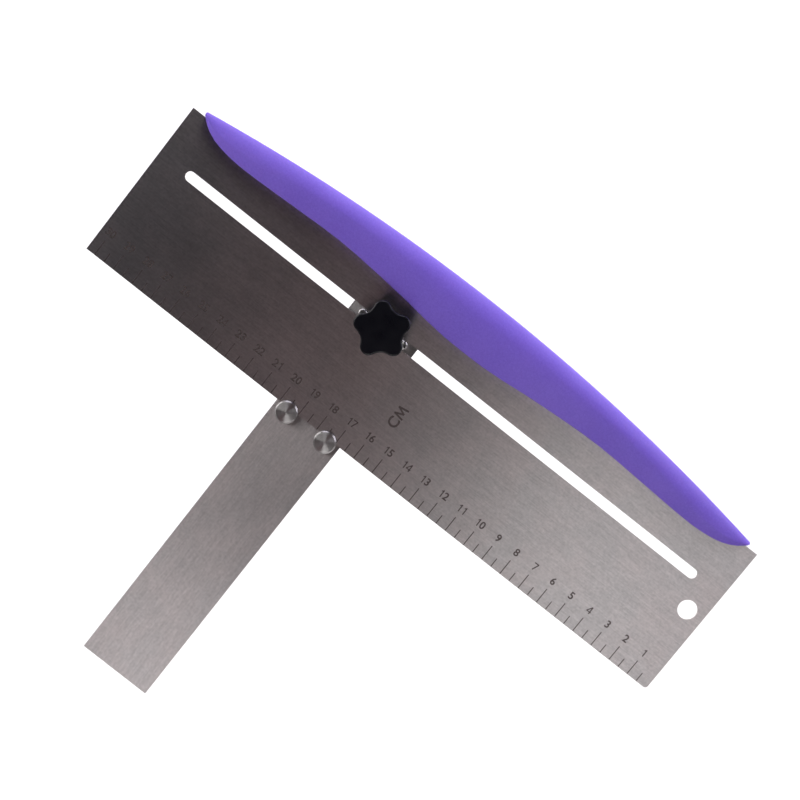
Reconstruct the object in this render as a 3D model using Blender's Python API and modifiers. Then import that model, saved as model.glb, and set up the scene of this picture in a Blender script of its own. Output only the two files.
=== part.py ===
"""Adjustable T-square: a graduated steel ruler plate with a plastic grip along its upper edge,
and a steel blade that slides along the plate's slot and is clamped by a star knob.

Metres, +Z up. The square lies flat, graduated face up. +X runs along the ruler plate towards
the zero of its scale, and +Y across it towards the grip, so the blade points along -Y. The
origin is in the middle of the object's outline, on the plane that the grip's back rests on.
"""

import math

import bmesh
import bpy
from mathutils import Matrix, Vector

MM = 0.001
GAP = 0.3 * MM  # air between neighbouring pieces
MERGE = 0.01 * MM  # points nearer than this are one point
OVERCUT = 1.0 * MM  # how far a cutting shape runs past the face that it opens

# Ruler plate. Heights on the plate are measured from its lower, graduated edge.
PLATE_LENGTH = 304.8 * MM
PLATE_WIDTH = 75.0 * MM
SHEET = 1.0 * MM  # both steel sheets are this thick
PLATE_CORNER = 1.5 * MM
SLOT_LENGTH = 276.4 * MM
SLOT_WIDTH = 4.6 * MM
SLOT_HEIGHT = 51.4 * MM
HANG_HOLE_RADIUS = 4.3 * MM
HANG_HOLE_INSET = 8.0 * MM  # from the plate's end
HANG_HOLE_HEIGHT = 38.0 * MM

# Slide blade, behind the plate
BLADE_LENGTH = 200.0 * MM
BLADE_WIDTH = 34.0 * MM
BLADE_REACH = 138.2 * MM  # below the plate's lower edge
BLADE_CORNER = 0.4 * MM
BLADE_AT = -32.4 * MM  # the blade's middle from the plate's middle, as it is clamped now

# Grip: two shells that meet on the middle plane of the plate
GRIP_LENGTH = 292.8 * MM
GRIP_TOP_MIDDLE = 89.2 * MM
GRIP_TOP_END = 77.3 * MM
GRIP_DEPTH = 7.0 * MM  # from the middle plane out to the crest
GRIP_END_DEPTH = 3.0 * MM
GRIP_LIP = 3.5 * MM  # from the middle plane out to the face's lower edge
GRIP_END_LIP = 2.0 * MM
GRIP_LIP_ROUND = 1.0 * MM
GRIP_TAPER = 2.2  # higher keeps the grip's full depth nearer to its ends
GRIP_CREST_MIDDLE = 0.64  # where the crest lies across the grip, 0 at the lower line and 1 at the top
GRIP_CREST_END = 0.36
GRIP_FACE_BULGE = 0.15
GRIP_STATIONS = 22
# Height of the grip's wavy lower line at distances from its middle
GRIP_LOWER_LINE = [
    (0.0 * MM, 64.8 * MM),
    (14.0 * MM, 65.15 * MM),
    (36.0 * MM, 67.4 * MM),
    (68.0 * MM, 69.4 * MM),
    (96.0 * MM, 68.5 * MM),
    (117.0 * MM, 67.7 * MM),
    (128.0 * MM, 68.05 * MM),
    (137.0 * MM, 69.7 * MM),
    (142.7 * MM, 72.4 * MM),
    (146.4 * MM, 75.5 * MM),
]
# Dowels that join the shells through the plate, at these distances from its middle
DOWELS_AT = [-105.0 * MM, -30.0 * MM, 30.0 * MM, 105.0 * MM]
DOWEL_RADIUS = 2.0 * MM
DOWEL_HEIGHT = 72.0 * MM
DOWEL_COVER = 1.0 * MM  # plastic left over a dowel's socket

# Slide hardware
PIN_SPACING = 21.6 * MM  # the two pins in the slot
PIN_RADIUS = 1.95 * MM
PIN_STANDS_PROUD = 0.9 * MM
PIN_DISH_DEPTH = 0.45 * MM
PIN_BEVEL = 0.35 * MM
GUIDE_SPACING = 20.8 * MM  # the two turned guides under the plate's lower edge
GUIDE_HEAD_RADIUS = 5.0 * MM
GUIDE_HEAD_THICKNESS = 1.7 * MM
GUIDE_HEAD_BEVEL = 0.6 * MM
GUIDE_HEAD_FALL = 0.6 * MM  # how far its cone-shaped face falls from the middle to the bevel
GUIDE_SHANK_RADIUS = 1.7 * MM
TENON_RADIUS = 1.2 * MM  # the end that is riveted through the blade
RIVET_TAIL_RADIUS = 2.1 * MM
RIVET_TAIL_THICKNESS = 0.8 * MM

# Clamp: an M4 bolt, a washer and a star knob with a threaded bush
BOLT_RADIUS = 1.8 * MM
BOLT_HEAD_RADIUS = 4.5 * MM
BOLT_HEAD_THICKNESS = 1.8 * MM
BOLT_NECK_SIDE = 3.9 * MM
BOLT_REACH = 9.0 * MM  # in front of the plate
BOLT_CHAMFER = 0.4 * MM
BOLT_NECK_BELOW = 0.1 * MM  # the neck ends this far under the blade's front face
WASHER_RADIUS = 7.8 * MM
WASHER_THICKNESS = 1.0 * MM
WASHER_PLAY = 0.5 * MM  # around the bolt
KNOB_TIP_RADIUS = 12.4 * MM
KNOB_VALLEY_RADIUS = 9.4 * MM
KNOB_LOBE_ROUND = 3.8 * MM
KNOB_LOBES = 5
KNOB_ANGLE = math.radians(-90.0)  # where one lobe points, from +X
KNOB_HEAD_THICKNESS = 8.0 * MM
KNOB_HUB_HEIGHT = 3.4 * MM
KNOB_HUB_RADIUS = 7.0 * MM
KNOB_EDGE_ROUND = 0.8 * MM
BUSH_RADIUS = 4.0 * MM
BUSH_LENGTH = 8.0 * MM

# Levels, from the plane that the grip's back rests on
MIDDLE_Z = GRIP_DEPTH
PLATE_BACK_Z = MIDDLE_Z - SHEET / 2
PLATE_FRONT_Z = MIDDLE_Z + SHEET / 2
BLADE_FRONT_Z = PLATE_BACK_Z - GAP
BLADE_BACK_Z = BLADE_FRONT_Z - SHEET
WASHER_Z = PLATE_FRONT_Z + GAP
KNOB_Z = WASHER_Z + WASHER_THICKNESS + GAP

# The plate's lower edge and the slot's centre line
EDGE_Y = (BLADE_REACH - GRIP_TOP_MIDDLE) / 2
SLOT_Y = EDGE_Y + SLOT_HEIGHT
GUIDE_Y = EDGE_Y - GUIDE_SHANK_RADIUS - GAP
BLADE_LOW_Y = EDGE_Y - BLADE_REACH

CIRCLE_POINTS = 40
TURNED_STEPS = 40
ARC_POINTS = 10


def clear_scene():
    """Removes what the file already holds."""
    for obj in list(bpy.data.objects):
        bpy.data.objects.remove(obj, do_unlink=True)


def new_collection(name):
    collection = bpy.data.collections.new(name)
    bpy.context.scene.collection.children.link(collection)
    return collection


def make_material(name, colour, roughness, metallic):
    """A Principled BSDF with one colour, roughness and metallic value."""
    material = bpy.data.materials.new(name)
    material.use_nodes = True
    shader = material.node_tree.nodes["Principled BSDF"]
    shader.inputs["Base Color"].default_value = (*colour, 1.0)
    shader.inputs["Roughness"].default_value = roughness
    shader.inputs["Metallic"].default_value = metallic
    return material


def add_object(name, data, material, location=(0.0, 0.0, 0.0)):
    """Puts a mesh or curve into the object's collection, with its own material."""
    obj = bpy.data.objects.new(name, data)
    obj.location = location
    if material is not None:
        data.materials.append(material)
    PARTS.objects.link(obj)
    return obj


def make_helper(obj):
    """Turns an object into a tool for Booleans, which isn't part of the model."""
    PARTS.objects.unlink(obj)
    HELPERS.objects.link(obj)
    obj.hide_render = True
    obj.display_type = "WIRE"
    return obj


def smooth_round_sides(obj, angle=math.radians(35.0)):
    """Shades the round sides smooth and keeps the real corners sharp."""
    obj.data.shade_smooth()
    obj.data.set_sharp_from_angle(angle=angle)


def arc(centre, radius, start, end, steps=ARC_POINTS):
    """Points along an arc in the XY plane, angles in radians, both ends included."""
    points = []
    for i in range(steps + 1):
        angle = start + (end - start) * i / steps
        points.append((centre[0] + radius * math.cos(angle), centre[1] + radius * math.sin(angle)))
    return points


def circle(centre, radius):
    return arc(centre, radius, 0.0, math.tau, CIRCLE_POINTS)[:-1]


def square(centre, side):
    half = side / 2
    x, y = centre
    return [(x - half, y - half), (x + half, y - half), (x + half, y + half), (x - half, y + half)]


def rectangle(low, high, corner_radii):
    """A rectangle with round corners: radii from the lower left corner, counterclockwise."""
    corners = [(low[0], low[1]), (high[0], low[1]), (high[0], high[1]), (low[0], high[1])]
    points = []
    for i, ((x, y), radius) in enumerate(zip(corners, corner_radii)):
        if radius == 0.0:
            points.append((x, y))
            continue
        inward_x = radius if i in (0, 3) else -radius
        inward_y = radius if i in (0, 1) else -radius
        start = math.pi + i * math.pi / 2
        points += arc((x + inward_x, y + inward_y), radius, start, start + math.pi / 2, steps=6)
    return points


def stadium(centre, length, width):
    """A slot outline with round ends, along X."""
    radius = width / 2
    half = length / 2 - radius
    x, y = centre
    right = arc((x + half, y), radius, -math.pi / 2, math.pi / 2)
    left = arc((x - half, y), radius, math.pi / 2, 3 * math.pi / 2)
    return right + left


def add_flat_piece(name, loops, thickness, low_z, material):
    """A sheet cut to the first loop, with the other loops as holes."""
    curve = bpy.data.curves.new(name, "CURVE")
    curve.dimensions = "2D"
    curve.fill_mode = "BOTH"
    curve.extrude = thickness / 2
    for loop in loops:
        spline = curve.splines.new("POLY")
        spline.points.add(len(loop) - 1)
        for point, (x, y) in zip(spline.points, loop):
            point.co = (x, y, 0.0, 1.0)
        spline.use_cyclic_u = True
    return add_object(name, curve, material, (0.0, 0.0, low_z + thickness / 2))


def add_turned_piece(name, profile, material, location, closed=False):
    """A piece turned about Z. The profile runs down the outer side; closed makes it a ring."""
    edges = [(i, i + 1) for i in range(len(profile) - 1)]
    if closed:
        edges.append((len(profile) - 1, 0))
    mesh = bpy.data.meshes.new(name)
    mesh.from_pydata([(radius, 0.0, z) for radius, z in profile], edges, [])
    obj = add_object(name, mesh, material, location)
    screw = obj.modifiers.new("Turn", "SCREW")
    screw.axis = "Z"
    screw.angle = math.tau
    screw.screw_offset = 0.0
    screw.steps = TURNED_STEPS
    screw.render_steps = TURNED_STEPS
    screw.use_merge_vertices = True
    screw.merge_threshold = MERGE
    screw.use_smooth_shade = True
    return obj


def add_box(name, size, centre, material=None):
    """An axis-aligned box."""
    bm = bmesh.new()
    bmesh.ops.create_cube(bm, size=1.0)
    bmesh.ops.scale(bm, vec=Vector(size), verts=bm.verts)
    mesh = bpy.data.meshes.new(name)
    bm.to_mesh(mesh)
    bm.free()
    return add_object(name, mesh, material, centre)


def add_cylinder(name, radius, low, height, material=None):
    """An upright cylinder that stands on the point low."""
    bm = bmesh.new()
    lift = Matrix.Translation((0.0, 0.0, height / 2))
    bmesh.ops.create_cone(
        bm,
        cap_ends=True,
        segments=CIRCLE_POINTS,
        radius1=radius,
        radius2=radius,
        depth=height,
        matrix=lift,
    )
    mesh = bpy.data.meshes.new(name)
    bm.to_mesh(mesh)
    bm.free()
    return add_object(name, mesh, material, low)


def apply_boolean(obj, helper, operation):
    modifier = obj.modifiers.new(f"{operation} {helper.name}", "BOOLEAN")
    modifier.operation = operation
    modifier.solver = "EXACT"
    modifier.object = helper


def add_ruler_plate(material):
    """The graduated plate: slot, hanging hole and four holes for the grip's dowels."""
    half = PLATE_LENGTH / 2
    outline = rectangle((-half, EDGE_Y), (half, EDGE_Y + PLATE_WIDTH), (0.0, PLATE_CORNER, 0.0, 0.0))
    loops = [outline, stadium((0.0, SLOT_Y), SLOT_LENGTH, SLOT_WIDTH)]
    loops.append(circle((half - HANG_HOLE_INSET, EDGE_Y + HANG_HOLE_HEIGHT), HANG_HOLE_RADIUS))
    for x in DOWELS_AT:
        loops.append(circle((x, EDGE_Y + DOWEL_HEIGHT), DOWEL_RADIUS + GAP))
    return add_flat_piece("ruler_plate", loops, SHEET, PLATE_BACK_Z, material)


def add_slide_blade(material):
    """The blade: a plain strip with four rivet holes and a square hole for the bolt's neck."""
    half = BLADE_WIDTH / 2
    outline = rectangle(
        (BLADE_AT - half, BLADE_LOW_Y), (BLADE_AT + half, BLADE_LOW_Y + BLADE_LENGTH), (BLADE_CORNER,) * 4
    )
    loops = [outline, square((BLADE_AT, SLOT_Y), BOLT_NECK_SIDE + 2 * GAP)]
    for spacing, y in ((PIN_SPACING, SLOT_Y), (GUIDE_SPACING, GUIDE_Y)):
        for side in (-1, 1):
            loops.append(circle((BLADE_AT + side * spacing / 2, y), TENON_RADIUS + GAP))
    return add_flat_piece("slide_blade", loops, SHEET, BLADE_BACK_Z, material)


def smooth_height(points, at):
    """Height at a distance along a smooth line through the points, level at the first one."""
    slopes = [0.0]
    for before, after in zip(points, points[2:]):
        slopes.append((after[1] - before[1]) / (after[0] - before[0]))
    slopes.append((points[-1][1] - points[-2][1]) / (points[-1][0] - points[-2][0]))
    i = 0
    while i < len(points) - 2 and at > points[i + 1][0]:
        i += 1
    (start, low), (end, high) = points[i], points[i + 1]
    span = end - start
    t = (at - start) / span
    return (
        low * (1 + 2 * t) * (1 - t) ** 2
        + slopes[i] * span * t * (1 - t) ** 2
        + high * t**2 * (3 - 2 * t)
        - slopes[i + 1] * span * t**2 * (1 - t)
    )


def grip_top(x):
    """Height of the grip's upper line, one long arc."""
    rise = GRIP_TOP_MIDDLE - GRIP_TOP_END
    half = GRIP_LENGTH / 2
    radius = (half**2 + rise**2) / (2 * rise)
    return GRIP_TOP_MIDDLE - radius + math.sqrt(radius**2 - x**2)


def grip_section(x):
    """Outline of one shell's section at x, as (height, distance from the middle plane)."""
    low = smooth_height(GRIP_LOWER_LINE, x)
    top = grip_top(x)
    width = top - low
    fullness = 1 - (2 * x / GRIP_LENGTH) ** GRIP_TAPER
    depth = GRIP_END_DEPTH + (GRIP_DEPTH - GRIP_END_DEPTH) * fullness
    lip = GRIP_END_LIP + (GRIP_LIP - GRIP_END_LIP) * fullness
    lip_round = min(GRIP_LIP_ROUND, 0.3 * width, 0.5 * lip)
    crest = low + width * (GRIP_CREST_END + (GRIP_CREST_MIDDLE - GRIP_CREST_END) * fullness)
    face_start = low + lip_round
    seam = GAP / 2
    points = [(low, seam)]
    for height, out in arc((face_start, lip - lip_round), lip_round, math.pi, math.pi / 2, steps=4):
        points.append((height, out))
    for step in (0.25, 0.5, 0.75):
        bulge = GRIP_FACE_BULGE * (depth - lip) * math.sin(math.pi * step)
        points.append((face_start + (crest - face_start) * step, lip + (depth - lip) * step + bulge))
    for height, out in arc((0.0, 0.0), 1.0, math.pi / 2, 0.0, steps=9):
        points.append((crest + (top - crest) * height, seam + (depth - seam) * out))
    return points


def face_distance(x, height):
    """How far the shell's face is from the middle plane at x and this height."""
    section = grip_section(x)
    for (low, low_out), (high, high_out) in zip(section[1:], section[2:]):
        if low <= height <= high:
            return low_out + (high_out - low_out) * (height - low) / (high - low)
    return 0.0


def add_grip_shell(name, side, material):
    """One shell of the grip, lofted along X as a half and mirrored; side is +1 in front, -1 behind."""
    bm = bmesh.new()
    rings = []
    for i in range(GRIP_STATIONS + 1):
        x = GRIP_LENGTH / 2 * math.sin(math.pi / 2 * i / GRIP_STATIONS)
        section = grip_section(x)
        rings.append([bm.verts.new((x, height, side * out)) for height, out in section])
    for ring, following in zip(rings, rings[1:]):
        for j, vertex in enumerate(ring):
            k = (j + 1) % len(ring)
            bm.faces.new((vertex, ring[k], following[k], following[j]))
    bm.faces.new(rings[-1])
    bmesh.ops.recalc_face_normals(bm, faces=bm.faces)
    mesh = bpy.data.meshes.new(name)
    bm.to_mesh(mesh)
    bm.free()
    obj = add_object(name, mesh, material, (0.0, EDGE_Y, MIDDLE_Z))
    smooth_round_sides(obj)
    mirror = obj.modifiers.new("Other half", "MIRROR")
    mirror.use_axis[0] = True
    mirror.merge_threshold = MERGE
    return obj


def add_grip(front_material, rear_material, dowel_materials):
    """Both shells, cut to take the plate's upper edge, and the dowels that join them."""
    front = add_grip_shell("front_grip_shell", 1, front_material)
    rear = add_grip_shell("rear_grip_shell", -1, rear_material)
    recess_size = (PLATE_LENGTH + 2 * OVERCUT, PLATE_WIDTH, SHEET + 2 * GAP)
    recess_centre = (0.0, EDGE_Y + PLATE_WIDTH / 2 + GAP, MIDDLE_Z)
    recess = make_helper(add_box("plate_recess", recess_size, recess_centre))
    for shell in (front, rear):
        apply_boolean(shell, recess, "DIFFERENCE")
    for i, (x, material) in enumerate(zip(DOWELS_AT, dowel_materials), start=1):
        reach = face_distance(abs(x), DOWEL_HEIGHT - DOWEL_RADIUS - GAP) - DOWEL_COVER
        socket_foot = (x, EDGE_Y + DOWEL_HEIGHT, MIDDLE_Z - reach)
        socket = add_cylinder(f"dowel_socket_{i}", DOWEL_RADIUS + GAP, socket_foot, 2 * reach)
        make_helper(socket)
        for shell in (front, rear):
            apply_boolean(shell, socket, "DIFFERENCE")
        foot = (x, EDGE_Y + DOWEL_HEIGHT, MIDDLE_Z - reach + GAP)
        dowel = add_cylinder(f"grip_dowel_{i}", DOWEL_RADIUS, foot, 2 * (reach - GAP), material)
        smooth_round_sides(dowel)


def rivet_tail(top):
    """The lower half of a riveted piece: tenon through the blade and a domed tail behind it."""
    tail_top = BLADE_BACK_Z - GAP
    shoulder = BLADE_FRONT_Z + GAP
    return [
        (top, shoulder),
        (TENON_RADIUS, shoulder),
        (TENON_RADIUS, tail_top),
        (RIVET_TAIL_RADIUS, tail_top),
        (RIVET_TAIL_RADIUS, tail_top - RIVET_TAIL_THICKNESS * 0.4),
        (RIVET_TAIL_RADIUS * 0.7, tail_top - RIVET_TAIL_THICKNESS * 0.85),
        (0.0, tail_top - RIVET_TAIL_THICKNESS),
    ]


def add_slot_pins(materials):
    """Two pins that run in the slot, dished on top, riveted through the blade."""
    top = PLATE_FRONT_Z + PIN_STANDS_PROUD
    profile = [
        (0.0, top - PIN_DISH_DEPTH),
        (PIN_RADIUS * 0.45, top - PIN_DISH_DEPTH * 0.65),
        (PIN_RADIUS * 0.62, top),
        (PIN_RADIUS * 0.78, top),
        (PIN_RADIUS, top - PIN_BEVEL),
    ]
    for side, word in ((-1, "left"), (1, "right")):
        location = (BLADE_AT + side * PIN_SPACING / 2, SLOT_Y, 0.0)
        add_turned_piece(f"slot_pin_{word}", profile + rivet_tail(PIN_RADIUS), materials[word], location)


def add_edge_guides(materials):
    """Two turned guides: the shank runs along the plate's lower edge and the head laps over it."""
    under = PLATE_FRONT_Z + GAP
    top = under + GUIDE_HEAD_THICKNESS
    shoulder = top - GUIDE_HEAD_FALL
    profile = [
        (0.0, top),
        (GUIDE_HEAD_RADIUS - GUIDE_HEAD_BEVEL, shoulder),
        (GUIDE_HEAD_RADIUS, shoulder - GUIDE_HEAD_BEVEL),
        (GUIDE_HEAD_RADIUS, under),
        (GUIDE_SHANK_RADIUS, under),
    ]
    profile += rivet_tail(GUIDE_SHANK_RADIUS)
    for side, word in ((-1, "left"), (1, "right")):
        location = (BLADE_AT + side * GUIDE_SPACING / 2, GUIDE_Y, 0.0)
        add_turned_piece(f"edge_guide_{word}", profile, materials[word], location)


def add_clamp_bolt(material):
    """The clamp bolt: low round head behind the blade, square neck in it, and the thread in front."""
    head_top = BLADE_BACK_Z - GAP
    head_low = head_top - BOLT_HEAD_THICKNESS
    end = PLATE_FRONT_Z + BOLT_REACH
    profile = [
        (0.0, end),
        (BOLT_RADIUS - BOLT_CHAMFER, end),
        (BOLT_RADIUS, end - BOLT_CHAMFER),
        (BOLT_RADIUS, head_top),
        (BOLT_HEAD_RADIUS, head_top),
        (BOLT_HEAD_RADIUS, head_top - BOLT_HEAD_THICKNESS * 0.35),
        (BOLT_HEAD_RADIUS * 0.85, head_top - BOLT_HEAD_THICKNESS * 0.72),
        (BOLT_HEAD_RADIUS * 0.5, head_top - BOLT_HEAD_THICKNESS * 0.95),
        (0.0, head_low),
    ]
    bolt = add_turned_piece("clamp_bolt", profile, material, (BLADE_AT, SLOT_Y, 0.0))
    neck_low = head_top - BOLT_HEAD_THICKNESS * 0.3
    neck_top = BLADE_FRONT_Z - BOLT_NECK_BELOW
    neck_size = (BOLT_NECK_SIDE, BOLT_NECK_SIDE, neck_top - neck_low)
    neck = make_helper(add_box("bolt_neck", neck_size, (BLADE_AT, SLOT_Y, (neck_low + neck_top) / 2)))
    apply_boolean(bolt, neck, "UNION")


def add_ring(name, outer, inner, low_z, height, material):
    """A plain turned ring on the clamp's axis."""
    profile = [(outer, height), (outer, 0.0), (inner, 0.0), (inner, height)]
    return add_turned_piece(name, profile, material, (BLADE_AT, SLOT_Y, low_z), closed=True)


def star_outline():
    """The knob's outline: round lobes joined by hollow arcs that touch them."""
    half_step = math.pi / KNOB_LOBES
    lobe_at = KNOB_TIP_RADIUS - KNOB_LOBE_ROUND
    along = lobe_at * math.cos(half_step)
    valley = KNOB_VALLEY_RADIUS
    hollow = (valley**2 + lobe_at**2 - 2 * valley * along - KNOB_LOBE_ROUND**2) / (
        2 * (KNOB_LOBE_ROUND + along - valley)
    )
    hollow_x = (valley + hollow) * math.cos(half_step)
    hollow_y = (valley + hollow) * math.sin(half_step)
    touch = math.atan2(hollow_y, hollow_x - lobe_at)
    one_lobe = arc((lobe_at, 0.0), KNOB_LOBE_ROUND, -touch, touch, steps=12)
    hollow_end = 2 * half_step - touch - math.pi
    one_lobe += arc((hollow_x, hollow_y), hollow, touch - math.pi, hollow_end, steps=7)[1:-1]
    points = []
    for i in range(KNOB_LOBES):
        turn = Matrix.Rotation(KNOB_ANGLE + 2 * half_step * i, 2)
        points += [turn @ Vector(point) for point in one_lobe]
    return points


def add_knob(material):
    """The star knob: rounded star head on a round hub, bored from below for the bush."""
    bm = bmesh.new()
    base = bm.faces.new([bm.verts.new((x, y, KNOB_HUB_HEIGHT)) for x, y in star_outline()])
    raised = bmesh.ops.extrude_face_region(bm, geom=[base])
    top_points = [item for item in raised["geom"] if isinstance(item, bmesh.types.BMVert)]
    bmesh.ops.translate(bm, vec=(0.0, 0.0, KNOB_HEAD_THICKNESS), verts=top_points)
    bmesh.ops.recalc_face_normals(bm, faces=bm.faces)
    mesh = bpy.data.meshes.new("star_knob")
    bm.to_mesh(mesh)
    bm.free()
    knob = add_object("star_knob", mesh, material, (BLADE_AT, SLOT_Y, KNOB_Z))
    rounding = knob.modifiers.new("Round edges", "BEVEL")
    rounding.limit_method = "ANGLE"
    rounding.angle_limit = math.radians(60.0)
    rounding.width = KNOB_EDGE_ROUND
    rounding.segments = 3
    smooth_round_sides(knob)
    bore_depth = BUSH_LENGTH + 2 * GAP
    hub_foot = (BLADE_AT, SLOT_Y, KNOB_Z)
    hub_top = KNOB_HUB_HEIGHT + KNOB_HEAD_THICKNESS / 2
    hub = make_helper(add_cylinder("knob_hub", KNOB_HUB_RADIUS, hub_foot, hub_top))
    bore_foot = (BLADE_AT, SLOT_Y, KNOB_Z - OVERCUT)
    bore = make_helper(add_cylinder("knob_bore", BUSH_RADIUS + GAP, bore_foot, bore_depth + OVERCUT))
    apply_boolean(knob, hub, "UNION")
    apply_boolean(knob, bore, "DIFFERENCE")


def build():
    """Makes every piece."""
    steel = (0.62, 0.60, 0.59)
    turned_steel = (0.72, 0.71, 0.70)
    purple = (0.16, 0.09, 0.53)
    add_ruler_plate(make_material("plate_steel", (0.45, 0.43, 0.42), 0.38, 1.0))
    add_grip(
        make_material("front_grip_plastic", purple, 0.55, 0.0),
        make_material("rear_grip_plastic", purple, 0.55, 0.0),
        [make_material(f"dowel_steel_{i + 1}", steel, 0.35, 1.0) for i in range(len(DOWELS_AT))],
    )
    add_slide_blade(make_material("blade_steel", steel, 0.38, 1.0))
    sides = ("left", "right")
    add_slot_pins({side: make_material(f"pin_steel_{side}", turned_steel, 0.25, 1.0) for side in sides})
    add_edge_guides(
        {side: make_material(f"guide_steel_{side}", turned_steel, 0.25, 1.0) for side in sides}
    )
    add_clamp_bolt(make_material("bolt_steel", steel, 0.35, 1.0))
    washer_bore = BOLT_RADIUS + WASHER_PLAY
    washer_steel = make_material("washer_steel", steel, 0.35, 1.0)
    add_ring("clamp_washer", WASHER_RADIUS, washer_bore, WASHER_Z, WASHER_THICKNESS, washer_steel)
    bush_brass = make_material("bush_brass", (0.78, 0.57, 0.25), 0.35, 1.0)
    add_ring("threaded_bush", BUSH_RADIUS, BOLT_RADIUS + GAP, KNOB_Z, BUSH_LENGTH, bush_brass)
    add_knob(make_material("knob_plastic", (0.012, 0.012, 0.015), 0.35, 0.0))


clear_scene()
PARTS = new_collection("adjustable_t_square")
HELPERS = new_collection("helpers")
build()
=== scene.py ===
"""Looks of the adjustable T-square around the CAD frame.

Materials and broken edges of the CAD nodes, marks and numbers of the scale, studio light and camera.
"""

import math

import bpy
from mathutils import Matrix, Vector


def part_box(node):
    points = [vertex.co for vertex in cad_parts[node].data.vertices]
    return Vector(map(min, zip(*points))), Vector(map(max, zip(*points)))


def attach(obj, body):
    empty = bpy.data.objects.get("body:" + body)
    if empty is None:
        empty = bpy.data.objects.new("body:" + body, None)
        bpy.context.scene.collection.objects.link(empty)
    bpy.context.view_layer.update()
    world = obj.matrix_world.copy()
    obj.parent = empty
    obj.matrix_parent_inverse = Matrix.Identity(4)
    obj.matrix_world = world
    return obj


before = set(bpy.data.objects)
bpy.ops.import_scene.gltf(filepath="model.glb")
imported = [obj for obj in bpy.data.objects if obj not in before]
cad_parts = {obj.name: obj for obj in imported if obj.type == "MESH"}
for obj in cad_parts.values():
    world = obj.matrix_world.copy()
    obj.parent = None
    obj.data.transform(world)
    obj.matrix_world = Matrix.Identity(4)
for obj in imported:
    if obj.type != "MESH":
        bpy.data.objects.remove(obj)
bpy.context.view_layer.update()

MM = 0.001
WELD = 0.002 * MM
HAIR = 0.02 * MM  # how far a printed or etched mark stands off the steel

DOWELS = 4
RING_DEPTH = 0.003 * MM  # of the rings left on turned steel
METAL_GRAIN_DEPTH = 0.02 * MM
GRIP_GRAIN_DEPTH = 0.05 * MM
KNOB_GRAIN_DEPTH = 0.03 * MM
DEPTH_GRAIN_SCALE = 40.0  # of a sheet's grain through its thickness
BLADE_ROUGHNESS = 0.38
ZINC_ROUGHNESS = 0.32
BRASS_ROUGHNESS = 0.34
FLAT_ANGLE = math.radians(0.5)  # faces that differ by less than this are joined into one
EDGE_ANGLE = math.radians(40.0)  # edges sharper than this are broken
SMOOTH_ANGLE = math.radians(32.0)  # edges sharper than this stay sharp in the shading
BROKEN_EDGE = 0.12 * MM
BOLT_BROKEN_EDGE = 0.08 * MM
MOULDED_EDGE = 0.0  # moulded pieces have their round edges already

# The scale, measured from the plate's lower edge and from its zero end
SCALE_ZERO_INSET = 0.5 * MM
CENTIMETRE = 10.0 * MM
LAST_CENTIMETRE = 30
LONG_MARK = 7.5 * MM
SHORT_MARK = 4.5 * MM
MARK_START = 0.15 * MM  # from the plate's lower edge, so that a mark stays on the flat
MARK_WIDTH = 0.42 * MM
NUMBER_HEIGHT = 3.5 * MM
NUMBER_ADVANCE = 2.4 * MM
NUMBER_FOOT = 10.1 * MM
UNIT_HEIGHT = 5.0 * MM
UNIT_ADVANCE = 5.3 * MM
LETTER_DEPTH = 0.02  # in the font's own units
LETTER_WEIGHT = 0.022
STROKE_LETTERS = {  # ends and width of each straight bar
    "1": (((0.02, 0.0), (0.02, 0.70), 0.11), ((0.02, 0.67), (-0.13, 0.55), 0.10)),
    "4": (
        ((0.13, 0.0), (0.13, 0.70), 0.11),
        ((0.11, 0.68), (-0.20, 0.20), 0.10),
        ((-0.22, 0.18), (0.24, 0.18), 0.10),
    ),
    "7": (((-0.22, 0.66), (0.20, 0.66), 0.11), ((0.20, 0.66), (-0.08, 0.0), 0.11)),
    "M": (
        ((-0.36, 0.0), (-0.25, 0.70), 0.13),
        ((-0.25, 0.70), (0.0, 0.12), 0.14),
        ((0.0, 0.12), (0.25, 0.70), 0.13),
        ((0.25, 0.70), (0.36, 0.0), 0.14),
    ),
}
UNIT_AT = (-4.3 * MM, 25.6 * MM)  # from the plate's middle, and above its lower edge

# Camera: where it stands and looks, and how far the picture is turned about its line of sight
CAMERA_AT = Vector((-0.026, 0.110, 0.616))
CAMERA_AIM = Vector((-0.008, 0.0567, 0.0075))
PICTURE_TURN = math.radians(38.45)
CAMERA_LENS = 64.6

# Colours of the metals and plastics
PLATE_COLOUR = (0.60, 0.555, 0.555)
BLADE_COLOUR = (0.595, 0.557, 0.562)
GUIDE_COLOUR = (0.58, 0.56, 0.555)
PIN_COLOUR = (0.86, 0.84, 0.83)
ZINC_COLOUR = (0.62, 0.61, 0.60)
BRASS_COLOUR = (0.80, 0.60, 0.28)
ETCHED_DARK = (0.110, 0.088, 0.086)
ETCHED_LIGHT = (0.165, 0.132, 0.128)
GRIP_DARK = (0.250, 0.143, 0.86)
GRIP_LIGHTER = (0.335, 0.205, 1.0)
KNOB_DARK = (0.0022, 0.0024, 0.0050)
KNOB_LIGHTER = (0.0050, 0.0050, 0.0090)

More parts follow.
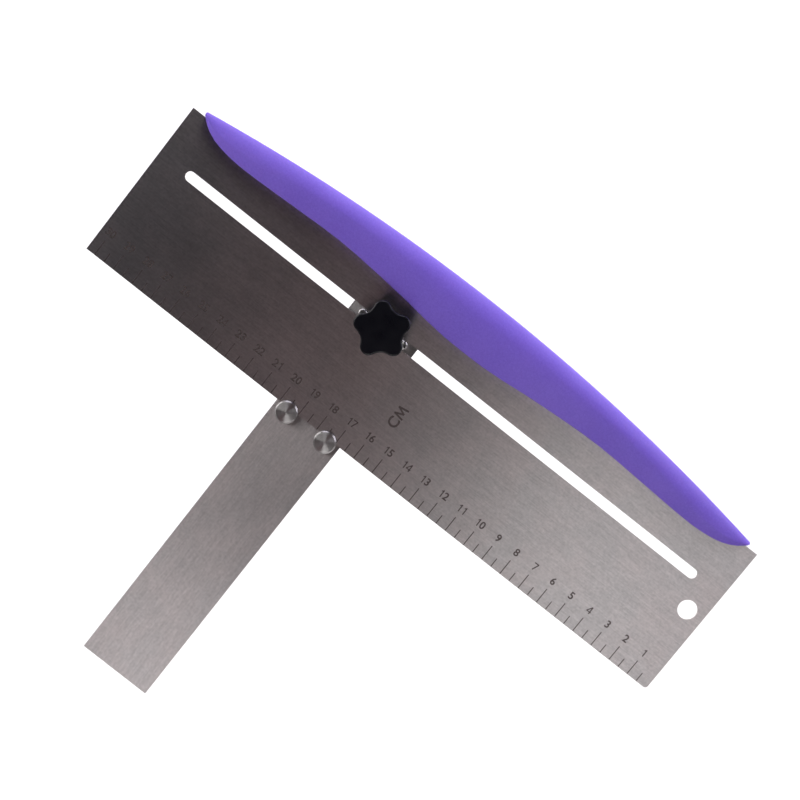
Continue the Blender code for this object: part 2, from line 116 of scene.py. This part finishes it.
# Soft boxes: name, place, point they face, size and brightness of the face, colour
WHITE_LIGHT = (1.0, 1.0, 1.0)
DIM_LIGHT = (1.0, 0.72, 0.74)
GRIP_LIGHT = (0.90, 0.90, 1.0)
SOFTBOXES = (
    ("right_box", (0.37, 0.60, 1.20), (0.37, 0.60, 0.0), (0.36, 1.20), 0.40, WHITE_LIGHT),
    ("far_right_box", (0.825, 0.60, 1.20), (0.825, 0.60, 0.0), (0.55, 1.20), 0.37, WHITE_LIGHT),
    ("end_box", (0.40, -0.86, 1.20), (0.40, -0.86, 0.0), (0.40, 0.88), 3.2, WHITE_LIGHT),
    ("far_end_box", (0.90, -0.86, 1.20), (0.90, -0.86, 0.0), (0.60, 0.88), 1.55, WHITE_LIGHT),
    ("dim_box", (-0.05, -0.60, 1.20), (-0.05, -0.60, 0.0), (0.30, 0.90), 0.37, DIM_LIGHT),
    ("left_box", (-1.00, 0.05, 0.40), (0.0, 0.0, 0.0), (0.80, 0.40), 3.6, WHITE_LIGHT),
    ("strip_box", (-0.95, -0.22, 0.95), (-0.05, -0.16, 0.0), (0.50, 0.30), 2.6, WHITE_LIGHT),
    ("grip_box_right", (0.75, 1.10, 0.35), (0.05, 0.10, 0.0), (0.90, 0.45), 4.6, GRIP_LIGHT),
    ("grip_box_left", (-0.75, 1.10, 0.35), (-0.05, 0.10, 0.0), (0.90, 0.45), 3.9, GRIP_LIGHT),
)
WORLD_STOPS = (  # position from the horizon up, and colour
    (0.0, (0.55, 0.51, 0.53)),
    (0.20, (0.55, 0.51, 0.53)),
    (0.40, (0.01, 0.01, 0.01)),
    (0.9, (0.0, 0.0, 0.0)),
)
FLOOR_SIZE = 12.0
FLOOR_GAP = 0.05 * MM  # between the floor and the back of the grip


class Nodes:
    """Short calls for building one material's node tree."""

    def __init__(self, name):
        self.material = bpy.data.materials.new(name)
        self.material.use_nodes = True
        self.tree = self.material.node_tree
        self.shader = self.tree.nodes["Principled BSDF"]

    def add(self, kind, **settings):
        node = self.tree.nodes.new(kind)
        for key, value in settings.items():
            setattr(node, key, value)
        return node

    def link(self, output, target):
        self.tree.links.new(output, target)

    def set(self, **values):
        """Sets the shader's own sockets."""
        names = {
            "colour": "Base Color",
            "roughness": "Roughness",
            "metallic": "Metallic",
            "anisotropic": "Anisotropic",
            "specular": "Specular IOR Level",
            "subsurface": "Subsurface Weight",
            "subsurface_scale": "Subsurface Scale",
        }
        for key, value in values.items():
            target = self.shader.inputs[names[key]]
            target.default_value = (*value, 1.0) if key == "colour" else value

    def coordinates(self, scale=(1.0, 1.0, 1.0), middle=(0.0, 0.0, 0.0)):
        """Object coordinates, in metres from the middle, times scale."""
        source = self.add("ShaderNodeTexCoord")
        offset = self.add("ShaderNodeVectorMath", operation="SUBTRACT")
        offset.inputs[1].default_value = middle
        stretch = self.add("ShaderNodeVectorMath", operation="MULTIPLY")
        stretch.inputs[1].default_value = scale
        self.link(source.outputs["Object"], offset.inputs[0])
        self.link(offset.outputs[0], stretch.inputs[0])
        return stretch.outputs[0]

    def noise(self, vector, scale=1.0, detail=2.0, roughness=0.5, dimensions="3D"):
        node = self.add("ShaderNodeTexNoise", noise_dimensions=dimensions)
        node.inputs["Scale"].default_value = scale
        node.inputs["Detail"].default_value = detail
        node.inputs["Roughness"].default_value = roughness
        self.link(vector, node.inputs["W" if dimensions == "1D" else "Vector"])
        return node.outputs["Fac"]

    def remap(self, value, low, high, from_low=0.0, from_high=1.0):
        node = self.add("ShaderNodeMapRange")
        node.inputs["From Min"].default_value = from_low
        node.inputs["From Max"].default_value = from_high
        node.inputs["To Min"].default_value = low
        node.inputs["To Max"].default_value = high
        self.link(value, node.inputs["Value"])
        return node.outputs["Result"]

    def math(self, operation, first, second):
        node = self.add("ShaderNodeMath", operation=operation)
        for value, target in ((first, node.inputs[0]), (second, node.inputs[1])):
            if isinstance(value, float):
                target.default_value = value
            else:
                self.link(value, target)
        return node.outputs[0]

    def weigh(self, *parts):
        """The weighted sum of several values."""
        total = None
        for value, weight in parts:
            share = self.math("MULTIPLY", value, weight)
            total = share if total is None else self.math("ADD", total, share)
        return total

    def blend_colours(self, factor, first, second):
        """A colour between two others, each a plain colour or a node's output."""
        node = self.add("ShaderNodeMix", data_type="RGBA")
        targets = [item for item in node.inputs if item.type == "RGBA"]
        for target, colour in zip(targets, (first, second)):
            if isinstance(colour, tuple):
                target.default_value = (*colour, 1.0)
            else:
                self.link(colour, target)
        self.link(factor, node.inputs[0])
        return [item for item in node.outputs if item.type == "RGBA"][0]

    def bump(self, height, strength, distance):
        node = self.add("ShaderNodeBump")
        node.inputs["Strength"].default_value = strength
        node.inputs["Distance"].default_value = distance
        self.link(height, node.inputs["Height"])
        return node.outputs["Normal"]

    def use(self, **links):
        """Links values to the shader's sockets."""
        names = {"colour": "Base Color", "roughness": "Roughness", "normal": "Normal", "tangent": "Tangent"}
        for key, value in links.items():
            self.link(value, self.shader.inputs[names[key]])


def brushed_steel(name, colour, grain, roughness=0.42, anisotropic=0.9):
    """Sheet steel brushed along an axis, 0 for X or 1 for Y: streaks, wipe marks, faint mottling."""
    nodes = Nodes(name)

    def grain_noise(along, across, **settings):
        scale = (along, across, DEPTH_GRAIN_SCALE) if grain == 0 else (across, along, DEPTH_GRAIN_SCALE)
        return nodes.noise(nodes.coordinates(scale), **settings)

    def even_noise(scale, **settings):
        return nodes.noise(nodes.coordinates((scale, scale, DEPTH_GRAIN_SCALE)), **settings)

    fine = grain_noise(160.0, 2200.0, detail=3.0, roughness=0.6)
    streaks = grain_noise(40.0, 600.0, detail=2.0)
    speckle = even_noise(900.0, detail=3.0, roughness=0.6)
    blotches = even_noise(160.0, detail=3.0, roughness=0.6)
    clouds = even_noise(42.0, detail=2.0)
    wipes = grain_noise(9.0, 34.0, detail=2.0)
    height = nodes.weigh((fine, 0.65), (streaks, 0.35))
    shade = nodes.weigh((fine, 0.32), (streaks, 0.12), (speckle, 0.32), (blotches, 0.09), (clouds, 0.15))
    warm = nodes.remap(nodes.weigh((clouds, 0.75), (blotches, 0.25)), 0.0, 1.0, 0.38, 0.62)

    def tinted(amount):
        red, green, blue = (amount * c for c in colour)
        cool = (0.992 * red, 1.005 * green, 1.005 * blue)
        return nodes.blend_colours(warm, cool, (1.012 * red, 0.99 * green, 0.984 * blue))

    tangent = nodes.add("ShaderNodeCombineXYZ")
    tangent.inputs[1 - grain].default_value = 1.0
    nodes.set(metallic=1.0, anisotropic=anisotropic)
    nodes.use(
        colour=nodes.blend_colours(nodes.remap(shade, 0.0, 1.0, 0.36, 0.64), tinted(0.78), tinted(1.20)),
        roughness=nodes.remap(
            nodes.weigh((wipes, 0.5), (clouds, 0.5)), roughness - 0.03, roughness + 0.03, 0.3, 0.7
        ),
        normal=nodes.bump(height, 0.06, METAL_GRAIN_DEPTH),
        tangent=tangent.outputs[0],
    )
    return nodes.material


def turned_steel(name, colour, middle):
    """Steel turned about a vertical axis: fine rings, with the gloss spread out from the middle."""
    nodes = Nodes(name)
    offset = nodes.coordinates((1.0, 1.0, 0.0), (middle.x, middle.y, 0.0))
    length = nodes.add("ShaderNodeVectorMath", operation="LENGTH")
    nodes.link(offset, length.inputs[0])
    radius = length.outputs["Value"]
    radial = nodes.add("ShaderNodeVectorMath", operation="NORMALIZE")
    nodes.link(offset, radial.inputs[0])
    rings = nodes.noise(radius, scale=5200.0, detail=2.0, dimensions="1D")
    broad = nodes.noise(radius, scale=900.0, detail=1.0, dimensions="1D")
    mixed = nodes.weigh((rings, 0.6), (broad, 0.4))
    shade = nodes.remap(mixed, 0.0, 1.0, 0.3, 0.7)
    darker = tuple(0.74 * c for c in colour)
    nodes.set(metallic=1.0, anisotropic=0.95)
    nodes.use(
        colour=nodes.blend_colours(shade, darker, colour),
        roughness=nodes.remap(shade, 0.34, 0.40),
        normal=nodes.bump(mixed, 1.0, RING_DEPTH),
        tangent=radial.outputs[0],
    )
    return nodes.material


def plain_metal(name, colour, roughness):
    """Machined metal with faint grain."""
    nodes = Nodes(name)
    grain = nodes.noise(nodes.coordinates((900.0, 900.0, 2400.0)), detail=3.0)
    darker = tuple(0.8 * c for c in colour)
    nodes.set(metallic=1.0)
    nodes.use(
        colour=nodes.blend_colours(grain, darker, colour),
        roughness=nodes.remap(grain, roughness - 0.05, roughness + 0.07),
        normal=nodes.bump(grain, 0.08, METAL_GRAIN_DEPTH),
    )
    return nodes.material


def etched_steel(name):
    """The dark, matt lines of the etched scale."""
    nodes = Nodes(name)
    grain = nodes.noise(nodes.coordinates((1500.0, 1500.0, 1500.0)), detail=3.0)
    nodes.set(metallic=0.32, anisotropic=0.85, specular=0.2)
    tangent = nodes.add("ShaderNodeCombineXYZ")
    tangent.inputs[1].default_value = 1.0
    nodes.use(
        colour=nodes.blend_colours(nodes.remap(grain, 0.0, 1.0, 0.3, 0.7), ETCHED_DARK, ETCHED_LIGHT),
        roughness=nodes.remap(grain, 0.42, 0.52),
        tangent=tangent.outputs[0],
    )
    return nodes.material


def grip_plastic(name):
    """Purple moulded plastic with a fine spark-eroded texture."""
    nodes = Nodes(name)
    fine = nodes.noise(nodes.coordinates((2600.0, 2600.0, 2600.0)), detail=2.0, roughness=0.6)
    medium = nodes.noise(nodes.coordinates((900.0, 900.0, 900.0)), detail=2.0)
    cloud = nodes.noise(nodes.coordinates((35.0, 35.0, 35.0)), detail=2.0)
    height = nodes.weigh((fine, 0.6), (medium, 0.4))
    tone = nodes.weigh((height, 0.7), (cloud, 0.3))
    nodes.set(specular=0.4, subsurface=0.06, subsurface_scale=0.6 * MM)
    nodes.use(
        colour=nodes.blend_colours(nodes.remap(tone, 0.0, 1.0, 0.35, 0.65), GRIP_DARK, GRIP_LIGHTER),
        roughness=nodes.remap(height, 0.46, 0.60, 0.3, 0.7),
        normal=nodes.bump(height, 0.45, GRIP_GRAIN_DEPTH),
    )
    return nodes.material


def knob_plastic(name):
    """Black moulded plastic, satin, with a faint grain."""
    nodes = Nodes(name)
    fine = nodes.noise(nodes.coordinates((1800.0, 1800.0, 1800.0)), detail=2.0)
    cloud = nodes.noise(nodes.coordinates((120.0, 120.0, 120.0)), detail=2.0)
    nodes.set(specular=0.36)
    nodes.use(
        colour=nodes.blend_colours(cloud, KNOB_DARK, KNOB_LIGHTER),
        roughness=nodes.remap(cloud, 0.26, 0.36, 0.3, 0.7),
        normal=nodes.bump(fine, 0.12, KNOB_GRAIN_DEPTH),
    )
    return nodes.material


def floor_material():
    """A pale, softly lit surface."""
    nodes = Nodes("pale_floor")
    nodes.set(colour=(0.40, 0.40, 0.40), roughness=0.9, specular=0.0)
    nodes.shader.inputs["Emission Color"].default_value = (1.0, 1.0, 1.0, 1.0)
    nodes.shader.inputs["Emission Strength"].default_value = 1.0
    return nodes.material


def smoothing_group(angle):
    """A geometry node group that shades smooth, but keeps edges sharper than the angle."""
    group = bpy.data.node_groups.new("smooth_by_angle", "GeometryNodeTree")
    group.interface.new_socket("Geometry", in_out="INPUT", socket_type="NodeSocketGeometry")
    group.interface.new_socket("Geometry", in_out="OUTPUT", socket_type="NodeSocketGeometry")
    start = group.nodes.new("NodeGroupInput")
    end = group.nodes.new("NodeGroupOutput")
    faces = group.nodes.new("GeometryNodeSetShadeSmooth")
    faces.domain = "FACE"
    edges = group.nodes.new("GeometryNodeSetShadeSmooth")
    edges.domain = "EDGE"
    edges.inputs["Shade Smooth"].default_value = False
    bend = group.nodes.new("GeometryNodeInputMeshEdgeAngle")
    sharp = group.nodes.new("FunctionNodeCompare")
    sharp.operation = "GREATER_THAN"
    sharp.inputs[1].default_value = angle
    group.links.new(start.outputs[0], faces.inputs["Geometry"])
    group.links.new(faces.outputs[0], edges.inputs["Geometry"])
    group.links.new(bend.outputs["Unsigned Angle"], sharp.inputs[0])
    group.links.new(sharp.outputs[0], edges.inputs["Selection"])
    group.links.new(edges.outputs[0], end.inputs[0])
    return group


def dress_node(name, material, bevel, smoothing):
    """Gives a CAD node its material, and by modifiers its broken edges and smooth round faces."""
    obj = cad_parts[name]
    for attribute in ("custom_normal", "sharp_edge", "sharp_face"):
        found = obj.data.attributes.get(attribute)
        if found is not None:
            obj.data.attributes.remove(found)
    for item in obj.material_slots:
        item.material = material
    weld = obj.modifiers.new("Weld", "WELD")
    weld.merge_threshold = WELD
    flat = obj.modifiers.new("Join flat faces", "DECIMATE")
    flat.decimate_type = "DISSOLVE"
    flat.angle_limit = FLAT_ANGLE
    if bevel:
        edge = obj.modifiers.new("Broken edges", "BEVEL")
        edge.width = bevel
        edge.segments = 2
        edge.limit_method = "ANGLE"
        edge.angle_limit = EDGE_ANGLE
    smooth = obj.modifiers.new("Smooth", "NODES")
    smooth.node_group = smoothing
    normals = obj.modifiers.new("Flat faces stay flat", "WEIGHTED_NORMAL")
    normals.keep_sharp = True
    normals.weight = 100


def node_middle(name):
    low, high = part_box(name)
    return (low + high) / 2


def new_piece(name, mesh, material, body):
    """Adds a piece that rides on a body and takes its finish from a material slot."""
    obj = bpy.data.objects.new(name, mesh)
    mesh.materials.clear()
    mesh.materials.append(material)
    bpy.context.scene.collection.objects.link(obj)
    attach(obj, body)


def box_faces(points, faces, low, high):
    """Adds an upright box to lists of points and faces."""
    first = len(points)
    for z in (low[2], high[2]):
        points += [(low[0], low[1], z), (high[0], low[1], z), (high[0], high[1], z), (low[0], high[1], z)]
    faces.append(tuple(first + i for i in (3, 2, 1, 0)))
    faces.append(tuple(first + i for i in (4, 5, 6, 7)))
    for i in range(4):
        j = (i + 1) % 4
        faces.append((first + i, first + j, first + 4 + j, first + 4 + i))


def add_scale_marks(material):
    """A long mark at each centimetre and a short one halfway between."""
    low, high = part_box("ruler_plate")
    zero = high.x - SCALE_ZERO_INSET
    points, faces = [], []
    for half in range(1, 2 * LAST_CENTIMETRE + 1):
        x = zero - half * CENTIMETRE / 2
        length = SHORT_MARK if half % 2 else LONG_MARK
        start = low.y + MARK_START
        bottom = (x - MARK_WIDTH / 2, start, high.z - HAIR)
        top = (x + MARK_WIDTH / 2, low.y + length, high.z + HAIR)
        box_faces(points, faces, bottom, top)
    mesh = bpy.data.meshes.new("scale_marks")
    mesh.from_pydata(points, [], faces)
    new_piece("scale_marks", mesh, material, "ruler")


def text_outline(character):
    """The raised shape of one letter or digit from the default font, as points and faces."""
    curve = bpy.data.curves.new("text", "FONT")
    curve.body = character
    curve.extrude = LETTER_DEPTH / 2
    curve.offset = LETTER_WEIGHT
    curve.resolution_u = 4
    obj = bpy.data.objects.new("text", curve)
    bpy.context.scene.collection.objects.link(obj)
    mesh = bpy.data.meshes.new_from_object(obj.evaluated_get(bpy.context.evaluated_depsgraph_get()))
    bpy.data.objects.remove(obj)
    points = [tuple(vertex.co) for vertex in mesh.vertices]
    faces = [tuple(polygon.vertices) for polygon in mesh.polygons]
    bpy.data.meshes.remove(mesh)
    return points, faces


def stroke_outline(strokes):
    """A letter or digit built of straight bars, each with its ends and its width."""
    points, faces = [], []
    for index, (start, end, weight) in enumerate(strokes):
        start, end = Vector((*start, 0.0)), Vector((*end, 0.0))
        along = (end - start).normalized()
        side = Vector((-along.y, along.x, 0.0)) * weight / 2
        along = along * weight / 4
        corners = (start - along - side, end + along - side, end + along + side, start - along + side)
        rise = Vector((0.0, 0.0, LETTER_DEPTH / 2 - index * LETTER_DEPTH / 40))
        first = len(points)
        points += [tuple(corner - rise) for corner in corners]
        points += [tuple(corner + rise) for corner in corners]
        faces.append(tuple(first + i for i in (3, 2, 1, 0)))
        faces.append(tuple(first + i for i in (4, 5, 6, 7)))
        for i in range(4):
            j = (i + 1) % 4
            faces.append((first + i, first + j, first + 4 + j, first + 4 + i))
    return points, faces


def add_text(text, height, advance, turn, at, z, lists):
    """Adds text, centred on a point and advance apart, to lists of points and faces."""
    for i, character in enumerate(text):
        strokes = STROKE_LETTERS.get(character)
        points, faces = stroke_outline(strokes) if strokes else text_outline(character)
        xs = [x for x, _, _ in points]
        ys = [y for _, y, _ in points]
        scale = height / (max(ys) - min(ys))
        middle = Vector(((max(xs) + min(xs)) / 2, (max(ys) + min(ys)) / 2, 0.0))
        shift = (i - (len(text) - 1) / 2) * advance
        place = (
            Matrix.Translation((at[0], at[1], z))
            @ Matrix.Rotation(turn, 4, "Z")
            @ Matrix.Translation((shift, 0.0, 0.0))
            @ Matrix.Diagonal((scale, scale, 2 * HAIR / LETTER_DEPTH, 1.0))
            @ Matrix.Translation(-middle)
        )
        first = len(lists[0])
        lists[0].extend(tuple(place @ Vector(point)) for point in points)
        lists[1].extend(tuple(first + index for index in face) for face in faces)


def add_scale_numbers(material):
    """The centimetre numbers over the long marks, and the unit."""
    low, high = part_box("ruler_plate")
    zero = high.x - SCALE_ZERO_INSET
    lists = ([], [])
    for number in range(1, LAST_CENTIMETRE + 1):
        at = (zero - number * CENTIMETRE, low.y + NUMBER_FOOT + NUMBER_HEIGHT / 2)
        add_text(str(number), NUMBER_HEIGHT, NUMBER_ADVANCE, 0.0, at, high.z, lists)
    middle = (low.x + high.x) / 2
    unit_at = (middle + UNIT_AT[0], low.y + UNIT_AT[1])
    add_text("CM", UNIT_HEIGHT, UNIT_ADVANCE, math.pi / 2, unit_at, high.z, lists)
    mesh = bpy.data.meshes.new("scale_numbers")
    mesh.from_pydata(lists[0], [], lists[1])
    new_piece("scale_numbers", mesh, material, "ruler")


def add_floor():
    """A wide pale floor just under the object."""
    bpy.ops.mesh.primitive_plane_add(size=FLOOR_SIZE, location=(0.0, 0.0, -FLOOR_GAP))
    floor = bpy.context.object
    floor.name = "floor"
    floor.data.materials.append(floor_material())


def add_softbox(name, at, aim, size, brightness, colour):
    """A rectangular soft light, whose brightness is that of its face."""
    light = bpy.data.lights.new(name, "AREA")
    light.shape = "RECTANGLE"
    light.size, light.size_y = size
    light.energy = brightness * math.pi * size[0] * size[1]
    light.color = colour
    obj = bpy.data.objects.new(name, light)
    obj.location = at
    obj.rotation_euler = (Vector(aim) - Vector(at)).to_track_quat("-Z", "Y").to_euler()
    bpy.context.scene.collection.objects.link(obj)


def add_world():
    """Grey studio walls that darken towards the ceiling, and a pale background for the camera."""
    world = bpy.data.worlds.new("studio")
    world.use_nodes = True
    bpy.context.scene.world = world
    tree = world.node_tree
    tree.nodes.clear()
    out = tree.nodes.new("ShaderNodeOutputWorld")
    background = tree.nodes.new("ShaderNodeBackground")
    ramp = tree.nodes.new("ShaderNodeValToRGB")
    split = tree.nodes.new("ShaderNodeSeparateXYZ")
    source = tree.nodes.new("ShaderNodeTexCoord")
    elements = ramp.color_ramp.elements
    while len(elements) < len(WORLD_STOPS):
        elements.new(0.5)
    for element, (position, colour) in zip(elements, WORLD_STOPS):
        element.position = position
        element.color = (*colour, 1.0)
    tree.links.new(source.outputs["Generated"], split.inputs[0])
    tree.links.new(split.outputs["Z"], ramp.inputs[0])
    tree.links.new(ramp.outputs["Color"], background.inputs["Color"])
    pale = tree.nodes.new("ShaderNodeBackground")
    pale.inputs["Color"].default_value = (1.0, 1.0, 1.0, 1.0)
    path = tree.nodes.new("ShaderNodeLightPath")
    choice = tree.nodes.new("ShaderNodeMixShader")
    tree.links.new(path.outputs["Is Camera Ray"], choice.inputs[0])
    tree.links.new(background.outputs[0], choice.inputs[1])
    tree.links.new(pale.outputs[0], choice.inputs[2])
    tree.links.new(choice.outputs[0], out.inputs[0])


def add_camera():
    """The camera, turned about its line of sight so that the plate runs down to the right."""
    data = bpy.data.cameras.new("camera")
    data.lens = CAMERA_LENS
    camera = bpy.data.objects.new("camera", data)
    back = (CAMERA_AT - CAMERA_AIM).normalized()
    right = Vector((math.cos(PICTURE_TURN), math.sin(PICTURE_TURN), 0.0))
    right = (right - right.dot(back) * back).normalized()
    up = back.cross(right)
    camera.matrix_world = Matrix.Translation(CAMERA_AT) @ Matrix((right, up, back)).transposed().to_4x4()
    bpy.context.scene.collection.objects.link(camera)
    bpy.context.scene.camera = camera


def dress_frame():
    """Materials and edges of every CAD node."""
    smoothing = smoothing_group(SMOOTH_ANGLE)
    plate_steel = brushed_steel("plate_brushed", PLATE_COLOUR, 0)
    dress_node("ruler_plate", plate_steel, BROKEN_EDGE, smoothing)
    blade_steel = brushed_steel("blade_brushed", BLADE_COLOUR, 1, roughness=BLADE_ROUGHNESS)
    dress_node("slide_blade", blade_steel, BROKEN_EDGE, smoothing)
    for side in ("left", "right"):
        for node, colour in ((f"edge_guide_{side}", GUIDE_COLOUR), (f"slot_pin_{side}", PIN_COLOUR)):
            steel = turned_steel(f"{node}_steel", colour, node_middle(node))
            dress_node(node, steel, BROKEN_EDGE, smoothing)
    zinc = plain_metal("bolt_metal", ZINC_COLOUR, ZINC_ROUGHNESS)
    dress_node("clamp_bolt", zinc, BOLT_BROKEN_EDGE, smoothing)
    for number in range(1, DOWELS + 1):
        dress_node(f"grip_dowel_{number}", zinc, BROKEN_EDGE, smoothing)
    dress_node("clamp_washer", zinc, BROKEN_EDGE, smoothing)
    brass = plain_metal("bush_metal", BRASS_COLOUR, BRASS_ROUGHNESS)
    dress_node("threaded_bush", brass, BROKEN_EDGE, smoothing)
    plastic = grip_plastic("grip_purple")
    dress_node("front_grip_shell", plastic, MOULDED_EDGE, smoothing)
    dress_node("rear_grip_shell", plastic, MOULDED_EDGE, smoothing)
    dress_node("star_knob", knob_plastic("knob_black"), MOULDED_EDGE, smoothing)


bpy.context.scene.view_settings.view_transform = "Standard"
dress_frame()
etched = etched_steel("etched_marks")
add_scale_marks(etched)
add_scale_numbers(etched)
add_floor()
add_world()
for softbox in SOFTBOXES:
    add_softbox(*softbox)
add_camera()
